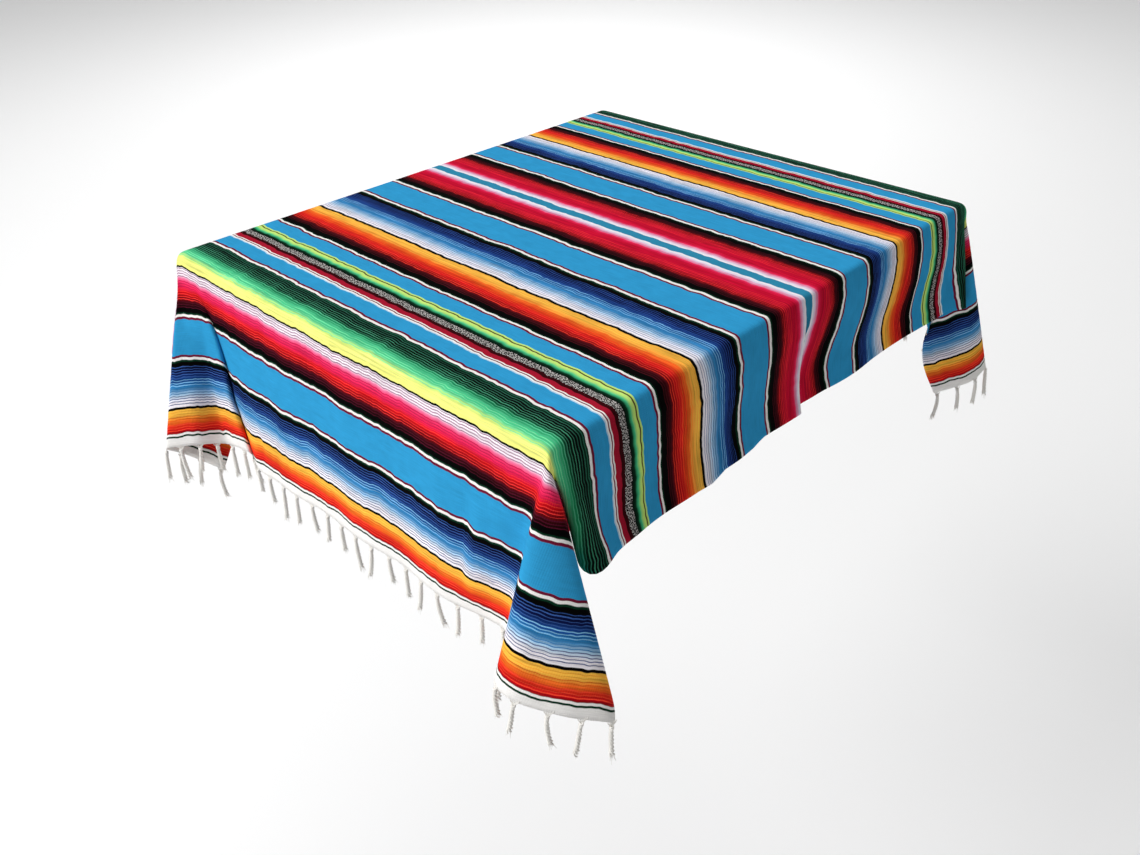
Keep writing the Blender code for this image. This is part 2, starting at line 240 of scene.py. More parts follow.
# Yarn colours in full light, chosen against the photo, as sRGB hex
YARN = {
    "white": "f1efec",
    "black": "040404",
    "sky": "3097cb",
    "maroon": "6e1732",
    "crimson": "a3182f",
    "oxblood": "33070c",
    "dark_red": "7c0c14",
    "red": "cc0e1a",
    "ruby": "c20c30",
    "scarlet": "e2331c",
    "orange": "f0752a",
    "gold": "f9bc48",
    "lemon": "f2f384",
    "lime": "c3e878",
    "mint": "48c488",
    "green": "1f8a58",
    "dark_green": "07301e",
    "rose": "e22350",
    "hot_pink": "e93a6c",
    "pink": "ec7ca4",
    "pale_pink": "f1dfe9",
    "lilac_white": "efeaf0",
    "lilac": "dccbe0",
    "pale_blue": "b2d2ea",
    "azure": "3083ba",
    "blue": "1a478e",
    "navy": "0b1342",
    "teal": "2f86a8",
    "grey": "8c8a88",
    "tan": "5a4a2c",
    "marl_dark": "161416",
    "marl_pale": "c8c4c0",
    "fringe_grey": "dcd9d3",
    "fringe_white": "faf8f3",
}

# Stripes from the near hem to the middle stripe; the far half mirrors them.
# Columns: where the stripe starts in mm from the hem, its colour, and 1 if it shades into the next colour.
STRIPES = (
    (0.0, "white", 0),
    (17.0, "dark_green", 0),
    (20.5, "white", 0),
    (25.0, "dark_red", 1),
    (30.0, "red", 1),
    (40.0, "scarlet", 1),
    (50.0, "orange", 1),
    (60.0, "gold", 1),
    (70.0, "gold", 0),
    (70.0, "black", 0),
    (75.0, "lilac_white", 1),
    (86.0, "lilac_white", 1),
    (97.0, "pale_blue", 1),
    (110.0, "azure", 1),
    (124.0, "blue", 1),
    (138.0, "navy", 1),
    (153.0, "black", 0),
    (160.0, "dark_green", 0),
    (164.0, "white", 0),
    (169.0, "maroon", 0),
    (173.5, "sky", 0),
    (242.0, "maroon", 0),
    (247.0, "white", 0),
    (252.0, "dark_green", 0),
    (255.0, "black", 1),
    (264.0, "black", 1),
    (274.0, "oxblood", 1),
    (284.0, "dark_red", 1),
    (295.0, "red", 1),
    (305.0, "rose", 1),
    (316.0, "hot_pink", 1),
    (322.0, "pink", 1),
    (327.0, "pale_pink", 1),
    (343.0, "lilac_white", 0),
    (343.0, "black", 0),
    (347.0, "lemon", 1),
    (362.0, "lemon", 1),
    (370.0, "lime", 1),
    (379.0, "mint", 1),
    (389.0, "mint", 1),
    (397.0, "green", 1),
    (405.0, "dark_green", 1),
    (415.0, "black", 1),
    (430.0, "black", 1),
    (435.0, "dark_green", 1),
    (439.5, "dark_green", 0),
    (439.5, "white", 0),
    (444.5, "maroon", 0),
    (449.0, "sky", 0),
    (481.0, "pale_blue", 0),
    (483.5, "white", 0),
    (486.5, "maroon", 0),
    (489.0, "white", 0),
    (491.5, "crimson", 0),
    (502.5, "oxblood", 0),
    (510.0, "grey", 0),
    (523.0, "black", 1),
    (530.0, "dark_green", 1),
    (536.0, "mint", 1),
    (542.0, "lime", 0),
    (546.5, "tan", 0),
    (549.5, "lime", 0),
    (553.0, "sky", 0),
    (585.0, "maroon", 0),
    (589.5, "white", 0),
    (594.0, "dark_green", 0),
    (597.0, "black", 1),
    (609.0, "black", 1),
    (618.0, "oxblood", 1),
    (627.0, "dark_red", 1),
    (638.0, "red", 1),
    (652.0, "scarlet", 1),
    (664.0, "orange", 1),
    (677.0, "gold", 1),
    (688.0, "gold", 0),
    (688.0, "black", 0),
    (694.5, "lilac_white", 1),
    (705.0, "lilac_white", 1),
    (717.0, "pale_blue", 1),
    (733.0, "azure", 1),
    (750.0, "blue", 1),
    (766.0, "navy", 1),
    (781.0, "black", 0),
    (791.5, "dark_green", 0),
    (796.0, "white", 0),
    (801.5, "maroon", 0),
    (806.5, "sky", 0),
    (877.0, "maroon", 0),
    (882.0, "white", 0),
    (888.0, "dark_green", 0),
    (892.0, "black", 1),
    (905.0, "black", 1),
    (914.0, "oxblood", 1),
    (924.0, "dark_red", 1),
    (940.0, "ruby", 1),
    (961.0, "ruby", 1),
    (971.0, "rose", 1),
    (977.0, "pink", 1),
    (983.0, "lilac", 1),
    (989.0, "lilac_white", 0),
    (992.0, "teal", 0),
)
STRIPES_END = 1004.0
# half width of the soft edge between two stripes, in mm
STRIPE_BLUR = 0.15
# where the stripe table is cut into colour ramps
RAMP_CUTS = (0.0, 173.5, 347.0, 483.5, 594.0, 806.5, STRIPES_END)
# middle of the pattern on the flat cloth, half the pattern's length, and how much tighter the far half is
MIDDLE_U = 0.033
HALF_PATTERN = 1.003
FAR_SQUEEZE = 1.0672
# Slow and quick wander of the weft. Columns: noise cells per metre along and across, swing in metres.
WANDER = ((2.5, 11.0, 0.0085), (9.0, 45.0, 0.0075))
# start and end of the marled stripe in mm, and the noise value above which its yarn is pale
MARL_FROM = 510.0
MARL_TO = 523.0
MARL_PALE_ABOVE = 0.53

# Thin pin lines woven into the shaded bands. Columns: from and to in mm from the hem, and their colour.
PIN_LINES = (
    (26.0, 42.0, "f2452e"),
    (42.0, 56.0, "e0601c"),
    (56.0, 69.0, "e8a038"),
    (77.0, 98.0, "5a648c"),
    (98.0, 112.0, "3c78b0"),
    (112.0, 128.0, "7cb8e0"),
    (128.0, 153.0, "35589c"),
    (262.0, 280.0, "4c1024"),
    (280.0, 300.0, "ec3430"),
    (300.0, 318.0, "c01c48"),
    (323.0, 341.0, "8e5f7e"),
    (352.0, 370.0, "e2e884"),
    (370.0, 388.0, "7ad8a0"),
    (388.0, 402.0, "56b88c"),
    (402.0, 420.0, "3f8c6c"),
    (420.0, 437.0, "2a624e"),
    (606.0, 622.0, "48101a"),
    (622.0, 646.0, "e63a28"),
    (646.0, 664.0, "e05a20"),
    (664.0, 686.0, "f0a444"),
    (699.0, 720.0, "8890b4"),
    (720.0, 736.0, "3c78b0"),
    (736.0, 754.0, "74b0dc"),
    (754.0, 781.0, "2c4c94"),
    (904.0, 920.0, "440c1a"),
    (920.0, 948.0, "e22a30"),
    (948.0, 966.0, "c41030"),
    (972.0, 980.0, "b890a8"),
)
# pitch of the lines in mm, how much of it a line takes, by how much that swings, and how strongly it covers
PIN_PITCH = 5.0
PIN_SHARE = 0.33
PIN_SHARE_SWING = 0.5
PIN_STRENGTH = 0.95
# where the pin table is cut into colour ramps
PIN_CUTS = (0.0, 173.5, 450.0, 806.5, STRIPES_END)

# noise cells per metre along and across: yarn thickness, marl flecks, weft streaks and worn patches
THICKNESS_CELLS = (240.0, 9.0)
FLECK_CELLS = (560.0, 360.0)
STREAK_CELLS = (700.0, 22.0)
PATCH_CELLS = (55.0, 32.0)
# how much the streaks, the patches and the uneven yarns of the shaded bands lighten and darken the cloth
STREAK_SWING = 0.36
PATCH_SWING = 0.26
BANDING_SWING = 1.1
# relief: pitch of the ribs over the warps, and the heights of ribs and streaks
RIB_PITCH = 0.0032
RIB_HEIGHT = 0.35
STREAK_HEIGHT = 0.9
BUMP_STRENGTH = 0.5
BUMP_DISTANCE = 0.0006
# surfaces of the cloth and of the fringe's yarn
ROUGHNESS = 0.95
CLOTH_SPECULAR = 0.03
YARN_SPECULAR = 0.1
YARN_FIBRE_CELLS = 900.0

# Tassels of each end: count, length, distance of the first from the corner, and the distance over which a
# tassel turns from the cloth's direction to straight down.
TASSELS = 33
TASSEL_LENGTH = 0.072
TASSEL_ROOT = 0.0058
LEAVES_OVER = 0.016
# how far a tassel starts inside the hem, and the step on the flat cloth that finds its direction
ROOT_OVERLAP = 0.002
HEM_STEP = 0.004
# each tassel is turned from the one before, and the far end's are counted from another number
TURN_EACH = 2.399
FAR_COUNT_FROM = 7
# sideways and outward sway of the tips, and the share of the length that a tassel has, give or take a swing
SWAY_ACROSS = 0.008
SWAY_OUT = 0.006
LENGTH_SHARE = 0.93
LENGTH_SWING = 0.09
# warps drawn together at the root
ROOT_WARPS = 5
ROOT_PITCH = 0.0036
ROOT_NARROWS = 0.82
ROOT_STEPS = 4
WARP_RADIUS = 0.0010
# knot below the root. Loops have the columns: tilt, drop.
KNOT_AT = 0.009
KNOT_LOOPS = ((0.5, 0.0), (-0.6, 0.0028))
KNOT_STEPS = 12
KNOT_RADIUS = 0.0024
KNOT_TILT = 0.0012
KNOT_YARN = 0.0017
# Twisted strands: their distance from the middle at the knot, more below it, and more again at the tip.
# Shares of the length: where the tip loosens, where a strand gets thinner, and how much thinner.
STRANDS = 3
STRAND_STEPS = 33
STRAND_RADIUS = 0.0021
TWIST_PITCH = 0.021
LOOSE_AT_KNOT = 0.0013
LOOSE_BELOW = 0.0008
LOOSE_AT_TIP = 0.0017
LOOSENS_FROM = 0.72
THINS_FROM = 0.88
THINS_BY = 0.6
# loose fibres at the tip: how far above it they start, how long they are, and how they spread
TUFT_FIBRES = 8
TUFT_STEPS = 5
TUFT_ABOVE = 0.013
TUFT_LENGTH = 0.017
TUFT_LENGTH_SWING = 0.003
TUFT_START = 0.0015
TUFT_SPREAD = 0.0030
TUFT_SPREAD_SWING = 0.0022
TUFT_RADIUS = 0.0006
# direction that no tube starts along
TUBE_HINT = (0.31, 0.95, 0.07)

# floor well below the cloth, half its width, and its colour
FLOOR_Z = -2.60
FLOOR_HALF = 60.0
FLOOR_COLOUR = (0.94, 0.94, 0.94, 1.0)
FLOOR_ROUGHNESS = 0.9

# Round lamps. Columns: name, place, target, size, power. The floor wash stands past the cloth.
LAMPS = (
    ("key", (-9.2, 3.6, 7.0), (0.0, 0.0, -0.2), 7.0, 1320.0),
    ("side_fill", (5.5, -7.0, 1.6), (0.0, 0.0, -0.3), 5.0, 72.0),
    ("floor_wash", (7.5, 7.5, 5.0), (7.5, 7.5, -2.6), 6.0, 440.0),
)
# even soft light from almost straight above, and the little light that comes from all around
SKY_STRENGTH = 1.28
SKY_ANGLE = 70.0
SKY_DIRECTION = (-0.06, -0.10, -1.0)
WORLD_STRENGTH = 0.05

# camera solved from the photo's edges
CAMERA_PLACE = (-1.4349, -1.3605, 0.8158)
CAMERA_YAW = 44.52
CAMERA_PITCH = -33.01
CAMERA_ROLL = -1.27
CAMERA_LENS = 33.86
SENSOR_WIDTH = 36.0


def smooth_step(value):
    value = np.clip(value, 0.0, 1.0)
    return value * value * (3.0 - 2.0 * value)


def table_at(rows, place):
    # value of a table of (place, value) rows, at any place
    return np.interp(place, [row[0] for row in rows], [row[1] for row in rows])


def rounded_table(rows, place, shifts):
    # the same with its corners rounded, as the mean over small shifts of the place
    total = np.zeros_like(place)
    for shift in shifts:
        total += table_at(rows, place + shift)
    return total / len(shifts)


def plain_ray(angle, flare_width=0.0):
    # ray of a corner with no folds: panels lean out a little and the quarter between them flares
    rad = np.radians(angle)
    end_lean = math.sin(math.radians(END_LEAN))
    side_lean = math.sin(math.radians(SIDE_LEAN))
    between = np.clip(angle / 90.0, 0.0, 1.0)
    flare = flare_width * 4.0 * between * (1.0 - between)
    side_out = np.where(angle < 0.0, np.sin(rad), np.sin(rad) * side_lean + flare * np.sin(rad))
    end_out = np.where(angle > 90.0, np.cos(rad), np.cos(rad) * end_lean + flare * np.cos(rad))
    return side_out, end_out


def fold_curve(rows, end_until, side_from):
    # fine table of the ray against the angle, with every fold rounded
    angles = np.arange(-90.0, 180.01, FOLD_STEP)
    on_end = angles <= end_until
    on_side = angles >= side_from
    knots = np.concatenate([angles[on_end], [row[0] for row in rows], angles[on_side]])
    kernel = np.ones(FOLD_ROUNDING) / FOLD_ROUNDING
    half = FOLD_ROUNDING // 2
    tables = []
    for column, plain in enumerate(plain_ray(angles), start=1):
        values = np.concatenate([plain[on_end], [row[column] for row in rows], plain[on_side]])
        table = np.interp(angles, knots, values)
        for _ in range(2):
            table[half:-half] = np.convolve(table, kernel, mode="valid")
        tables.append(table)
    return angles, tables[0], tables[1]


def raw_point(u, v, curves):
    # sharp-edged drape: flat top, plain panels and fans of folds at the corners
    x = u.copy()
    y = v.copy()
    z = np.zeros_like(u)
    over_end = np.abs(u) - HALF_X
    over_side = np.abs(v) - HALF_Y
    hangs = (over_end > 0.0) | (over_side > 0.0)
    radius = np.hypot(over_end, over_side)
    angle = np.degrees(np.arctan2(over_side, over_end))
    for end_sign, side_sign, (angles, side_table, end_table), fold_start, flare_width, skew in curves:
        mine = hangs & ((u < 0.0) == (end_sign < 0)) & ((v < 0.0) == (side_sign < 0))
        if not mine.any():
            continue
        here = angle[mine]
        far = radius[mine]
        # the fold lines of the end panel don't all pass through the corner
        near_corner = np.clip(1.0 - far / FOLD_SKEW_OVER, 0.0, 1.0)
        turned = skew * near_corner * np.clip(-here / FOLD_SKEW_ANGLE, 0.0, 1.0)
        step_side, step_end = plain_ray(here)
        base_side, base_end = plain_ray(here + turned)
        side_out = np.interp(here + turned, angles, side_table) + step_side - base_side
        end_out = np.interp(here + turned, angles, end_table) + step_end - base_end
        side_plain, end_plain = plain_ray(here, flare_width)
        blend = smooth_step(far / fold_start)
        side_out = side_plain + (side_out - side_plain) * blend
        end_out = end_plain + (end_out - end_plain) * blend
        down = np.sqrt(np.maximum(1.0 - side_out ** 2 - end_out ** 2, 0.0))
        x[mine] = end_sign * (HALF_X + end_out * far)
        y[mine] = side_sign * (HALF_Y + side_out * far)
        z[mine] = -down * far
    return x, y, z


def soft_point(u, v, curves):
    # the sharp drape averaged over a small round on the flat cloth, which softens every bend
    total = np.zeros((3,) + u.shape)
    weight_sum = 0.0
    for step_u in range(-BEND_STEPS, BEND_STEPS + 1):
        for step_v in range(-BEND_STEPS, BEND_STEPS + 1):
            weight = math.exp(-(step_u ** 2 + step_v ** 2) / BEND_FALLOFF)
            total += weight * np.array(raw_point(u + step_u * BEND_SPREAD, v + step_v * BEND_SPREAD, curves))
            weight_sum += weight
    return total / weight_sum


def crease_moves(u, v):
    # outward move of every crease as (x, y, z)
    below_end = np.abs(u) - HALF_X
    below_side = np.abs(v) - HALF_Y
    on_end = (below_end > 0.0) & (below_side < 0.0)
    on_side = (below_side > 0.0) & (below_end < 0.0)
    on_top = (below_end < 0.0) & (below_side < 0.0)
    end_fade = smooth_step(below_end / CREASE_FADE)
    side_fade = smooth_step(below_side / CREASE_FADE)
    top_fade = smooth_step(-np.maximum(below_end, below_side) / CREASE_FADE)
    # columns: the two directions that a crease's place is measured in, where the panel is, fade, outward
    panels = {
        "near": (v, below_end, on_end & (u < 0.0), end_fade, (-1.0, 0.0, 0.0)),
        "far": (v, below_end, on_end & (u > 0.0), end_fade, (1.0, 0.0, 0.0)),
        "right": (u, below_side, on_side & (v < 0.0), side_fade, (0.0, -1.0, 0.0)),
        "left": (u, below_side, on_side & (v > 0.0), side_fade, (0.0, 1.0, 0.0)),
        "top": (v, u, on_top, top_fade, (0.0, 0.0, 1.0)),
    }
    moves = [np.zeros_like(u) for _ in range(3)]
    for panel, along, below, direction, length, half_width, height in CREASES:
        along_axis, below_axis, inside, fade, outward = panels[panel]
        turn = math.radians(direction)
        from_along = along_axis - along
        from_below = below_axis - below
        run = from_along * math.sin(turn) + from_below * math.cos(turn)
        off = from_along * math.cos(turn) - from_below * math.sin(turn)
        size = height * np.exp(-(off / half_width) ** 2) * smooth_step(1.0 - (2.0 * run / length) ** 2)
        size = size * fade
        for k in range(3):
            moves[k] += np.where(inside, size * outward[k], 0.0)
    return moves


def pleat_moves(u, v):
    # the pleat takes cloth in beside the middle stripe and draws the cloth beyond it over
    below = np.clip(-v - HALF_Y, 0.0, None)
    width = table_at(PLEAT_WIDTH, below)
    past = np.clip(u - PLEAT_EDGE - width, 0.0, None)
    lag = PLEAT_LAG * smooth_step(past / PLEAT_LAG_OVER)
    hidden = width * smooth_step(below / PLEAT_GROWS_OVER)
    drawn = width * smooth_step((below - lag) / PLEAT_GROWS_OVER)
    inside = np.clip((u - PLEAT_EDGE) / width, 0.0, 1.0)
    on_side = (v < 0.0) & (u < HALF_X)
    pulled = on_side * drawn * (1.0 - table_at(PLEAT_MOUTH, below)) * inside * table_at(PLEAT_DRAW, u)
    sunk = on_side * hidden * PLEAT_DEPTH * np.sin(math.pi * inside) ** 2
    # the cloth beyond the pleat lies a little under it
    sunk += on_side * hidden * PLEAT_UNDER * smooth_step(2.0 * inside) * np.exp(-past / PLEAT_UNDER_FADE)
    return pulled, sunk


def cloth_point(u, v, curves):
    # the soft drape with its hang, creases, waves and pleat
    x, y, z = soft_point(u, v, curves)
    side_down = np.clip((np.abs(v) - HALF_Y) / SIDE_DROP, 0.0, PAST_HEM)
    end_down = np.clip((np.abs(u) - HALF_X) / NEAR_DROP, 0.0, PAST_HEM)
    hang = rounded_table(SIDE_HANG, side_down, HANG_SHIFTS)
    hang *= smooth_step(side_down / HANG_STARTS_OVER) * smooth_step((HALF_X - np.abs(u)) / HANG_ENDS_OVER)
    y += hang * np.sign(v)
    rise = table_at(RIGHT_HEM_RISE, u) * side_down ** HEM_RISE_POWER
    z += rise * (v < 0.0) * (np.abs(u) < HALF_X)
    crease_x, crease_y, crease_z = crease_moves(u, v)
    x += crease_x
    y += crease_y
    z += crease_z
    # waves grow from the table's edge to the hem
    side_grow = side_down * (1.0 + SIDE_WAVE_BEND - SIDE_WAVE_BEND * side_down) * (end_down <= 0.0)
    end_grow = end_down * (1.0 + END_WAVE_BEND - END_WAVE_BEND * end_down) * (side_down <= 0.0)
    y -= side_grow * (v < 0.0) * rounded_table(RIGHT_SIDE_WAVES, u, WAVE_SHIFTS)
    y += side_grow * (v > 0.0) * rounded_table(LEFT_SIDE_WAVES, u, WAVE_SHIFTS)
    x -= end_grow * (u < 0.0) * rounded_table(NEAR_END_WAVES, v, WAVE_SHIFTS)
    x += end_grow * (u > 0.0) * rounded_table(FAR_END_WAVES, v, WAVE_SHIFTS)
    pulled, sunk = pleat_moves(u, v)
    return np.stack([x - pulled, y + sunk, z + WALL / 2.0], axis=-1)


def grid_lines(start, spans):
    # places along one direction, from a start over (end, count) spans
    lines = [start]
    for end, count in spans:
        lines += [start + (end - start) * (k + 1) / count for k in range(count)]
        start = end
    return np.array(lines)


def grid_normals(points):
    along_u = np.gradient(points, axis=0)
    along_v = np.gradient(points, axis=1)
    normal = np.cross(along_u, along_v)
    return normal / np.linalg.norm(normal, axis=-1, keepdims=True)


def new_object(name, verts, faces, material):
    mesh = bpy.data.meshes.new(name)
    mesh.from_pydata(verts, [], faces)
    mesh.materials.append(material)
    mesh.shade_smooth()
    item = bpy.data.objects.new(name, mesh)
    bpy.context.scene.collection.objects.link(item)
    return item


def cloth_uv(u, v, back):
    return (UV_EDGE + (u + HALF_X + NEAR_DROP) * UV_SCALE,
            UV_EDGE + (v + HALF_Y + SIDE_DROP) * UV_SCALE + (UV_BACK if back else 0.0))


def make_cloth(curves, material):
    edge = HALF_Y + SIDE_DROP
    # finer round the table's edge and at the pleat
    us = grid_lines(-HALF_X - NEAR_DROP, (
        (-HALF_X - BEND_ZONE, 49), (-HALF_X + BEND_ZONE, 19), (-0.50, 8), (0.012, 28), (0.064, 24),
        (0.50, 24), (HALF_X - BEND_ZONE, 8), (HALF_X + BEND_ZONE, 19), (HALF_X + FAR_DROP, 49),
    ))
    vs = grid_lines(-edge, (
        (-HALF_Y - BEND_ZONE, 32), (-HALF_Y + BEND_ZONE, 19), (-0.20, 26), (0.20, 22),
        (HALF_Y - BEND_ZONE, 38), (HALF_Y + BEND_ZONE, 19), (edge, 32),
    ))
    grid_u, grid_v = np.meshgrid(us, vs, indexing="ij")
    middle = cloth_point(grid_u, grid_v, curves)
    normal = grid_normals(middle)
    rows, columns = grid_u.shape
    count = rows * columns
    front = (middle + normal * WALL / 2.0).reshape(-1, 3)
    back = (middle - normal * WALL / 2.0).reshape(-1, 3)
    verts = np.concatenate([front, back]).tolist()
    faces = []
    uvs = []

    def corner(i, j, is_back):
        return i * columns + j + (count if is_back else 0)

    def flat(i, j, is_back):
        return cloth_uv(us[i], vs[j], is_back)

    for i in range(rows - 1):
        for j in range(columns - 1):
            ring = ((i, j), (i + 1, j), (i + 1, j + 1), (i, j + 1))
            faces.append([corner(a, b, False) for a, b in ring])
            uvs += [flat(a, b, False) for a, b in ring]
            faces.append([corner(a, b, True) for a, b in reversed(ring)])
            uvs += [flat(a, b, True) for a, b in reversed(ring)]
    # the thin rim takes the front's colours, laid just outside the front's edge in the texture
    rim = [((0, j), (0, j + 1), (-1, 0)) for j in range(columns - 1)]
    rim += [((rows - 1, j + 1), (rows - 1, j), (1, 0)) for j in range(columns - 1)]
    rim += [((i + 1, 0), (i, 0), (0, -1)) for i in range(rows - 1)]
    rim += [((i, columns - 1), (i + 1, columns - 1), (0, 1)) for i in range(rows - 1)]
    shift = WALL * UV_SCALE
    for first, second, out in rim:
        front_edge = [corner(*first, False), corner(*second, False)]
        back_edge = [corner(*second, True), corner(*first, True)]
        faces.append(front_edge + back_edge)
        near_uv = [flat(*first, False), flat(*second, False)]
        far_uv = [(uv[0] + out[0] * shift, uv[1] + out[1] * shift) for uv in reversed(near_uv)]
        uvs += near_uv + far_uv
    item = new_object("blanket_cloth_shell", verts, faces, material)
    layer = item.data.uv_layers.new(name="OFBake")
    layer.data.foreach_set("uv", np.array(uvs, dtype=np.float32).ravel())
    return item


def hex_colour(code):
    # sRGB hex to the linear colour that a shader takes
    parts = [int(code[k:k + 2], 16) / 255.0 for k in (0, 2, 4)]
    return tuple(c / 12.92 if c <= 0.04045 else ((c + 0.055) / 1.055) ** 2.4 for c in parts) + (1.0,)


def set_input(tree, socket, value):
    if isinstance(value, bpy.types.NodeSocket):
        tree.links.new(value, socket)
    else:
        socket.default_value = value


def calc(tree, operation, first, second=None):
    node = tree.nodes.new("ShaderNodeMath")
    node.operation = operation
    set_input(tree, node.inputs[0], first)
    if second is not None:
        set_input(tree, node.inputs[1], second)
    return node.outputs[0]


def plus(tree, first, second):
    return calc(tree, "ADD", first, second)


def minus(tree, first, second):
    return calc(tree, "SUBTRACT", first, second)


def times(tree, first, second):
    return calc(tree, "MULTIPLY", first, second)


def swing(tree, noise_value, size):
    # a noise value moved to swing about nought, times a size
    return times(tree, minus(tree, noise_value, 0.5), size)


def mix_colour(tree, factor, first, second, blend="MIX"):
    node = tree.nodes.new("ShaderNodeMix")
    node.data_type = "RGBA"
    node.blend_type = blend
    set_input(tree, node.inputs[0], factor)
    set_input(tree, node.inputs[6], first)
    set_input(tree, node.inputs[7], second)
    return node.outputs[2]


def noise(tree, place, scale, detail):
    node = tree.nodes.new("ShaderNodeTexNoise")
    tree.links.new(place, node.inputs["Vector"])
    node.inputs["Scale"].default_value = scale
    node.inputs["Detail"].default_value = detail
    return node.outputs["Fac"]


def cloth_noise(tree, u, v, cells, detail=1.0):
    # noise on the flat cloth, with its cells per metre along the blanket and across it
    joined = tree.nodes.new("ShaderNodeCombineXYZ")
    set_input(tree, joined.inputs[0], times(tree, u, cells[0]))
    set_input(tree, joined.inputs[1], times(tree, v, cells[1]))
    return noise(tree, joined.outputs[0], 1.0, detail)


def colour_ramp(tree, place, stops, low, high, interpolation):
    # colours along one stretch of the pattern, from (place, colour) stops
    node = tree.nodes.new("ShaderNodeValToRGB")
    tree.links.new(calc(tree, "DIVIDE", minus(tree, place, low), high - low), node.inputs[0])
    ramp = node.color_ramp
    ramp.interpolation = interpolation
    while len(ramp.elements) > 1:
        ramp.elements.remove(ramp.elements[-1])
    for k, (stop, colour) in enumerate(stops):
        position = (stop - low) / (high - low)
        element = ramp.elements[0] if k == 0 else ramp.elements.new(position)
        element.position = position
        element.color = colour
    return node.outputs[0], node.outputs[1]


def stripe_stops(low, high):
    # stops of one stretch of the stripe table, doubled where a stripe ends sharply
    rows = list(STRIPES) + [(STRIPES_END, STRIPES[-1][1], 0)]
    stops = []
    for (start, name, shades), (end, _, _) in zip(rows, rows[1:]):
        if start < low or start >= high:
            continue
        colour = hex_colour(YARN[name])
        if end == start:
            # no width of its own: the colour that the stripe before it shades into
            stops.append((start - STRIPE_BLUR, colour))
            continue
        stops.append((start + STRIPE_BLUR, colour))
        if not shades:
            stops.append((end - STRIPE_BLUR, colour))
    return stops


def pin_stops(low, high):
    # stops of one stretch of the pin table, with an alpha of 0 where there are no pin lines
    none = (0.0, 0.0, 0.0, 0.0)
    stops = [(low, none)]
    rows = [row for row in PIN_LINES if low <= row[0] < high]
    for k, (start, end, colour) in enumerate(rows):
        stops.append((start, hex_colour(colour)))
        if k + 1 == len(rows) or rows[k + 1][0] > end:
            stops.append((end, none))
    return stops


def stripe_colour(tree, place):
    colour = None
    for low, high in zip(RAMP_CUTS, RAMP_CUTS[1:]):
        part, _ = colour_ramp(tree, place, stripe_stops(low, high), low, high, "LINEAR")
        if colour is None:
            colour = part
        else:
            colour = mix_colour(tree, calc(tree, "GREATER_THAN", place, low), colour, part)
    return colour


def pin_colour(tree, place):
    # colour of the pin lines, and 1 where a band has them
    colour = None
    for low, high in zip(PIN_CUTS, PIN_CUTS[1:]):
        part, part_there = colour_ramp(tree, place, pin_stops(low, high), low, high, "CONSTANT")
        if colour is None:
            colour = part
            there = part_there
        else:
            beyond = calc(tree, "GREATER_THAN", place, low)
            colour = mix_colour(tree, beyond, colour, part)
            keep = times(tree, there, minus(tree, 1.0, beyond))
            there = plus(tree, keep, times(tree, part_there, beyond))
    return colour, there


def pattern_place(tree, u, v):
    # place in the stripe table, in mm: wandering a little, mirrored, and tighter in the far half
    wandered = u
    for along, across, size in WANDER:
        wandered = plus(tree, wandered, swing(tree, cloth_noise(tree, u, v, (along, across)), size))
    off = minus(tree, wandered, MIDDLE_U)
    is_far = calc(tree, "GREATER_THAN", off, 0.0)
    squeeze = plus(tree, times(tree, is_far, FAR_SQUEEZE - 1.0), 1.0)
    away = times(tree, calc(tree, "ABSOLUTE", off), squeeze)
    return times(tree, minus(tree, HALF_PATTERN, away), 1000.0)


def new_material(name, roughness):
    material = bpy.data.materials.new(name)
    material.use_nodes = True
    tree = material.node_tree
    shader = tree.nodes["Principled BSDF"]
    shader.inputs["Roughness"].default_value = roughness
    return material, tree, shader


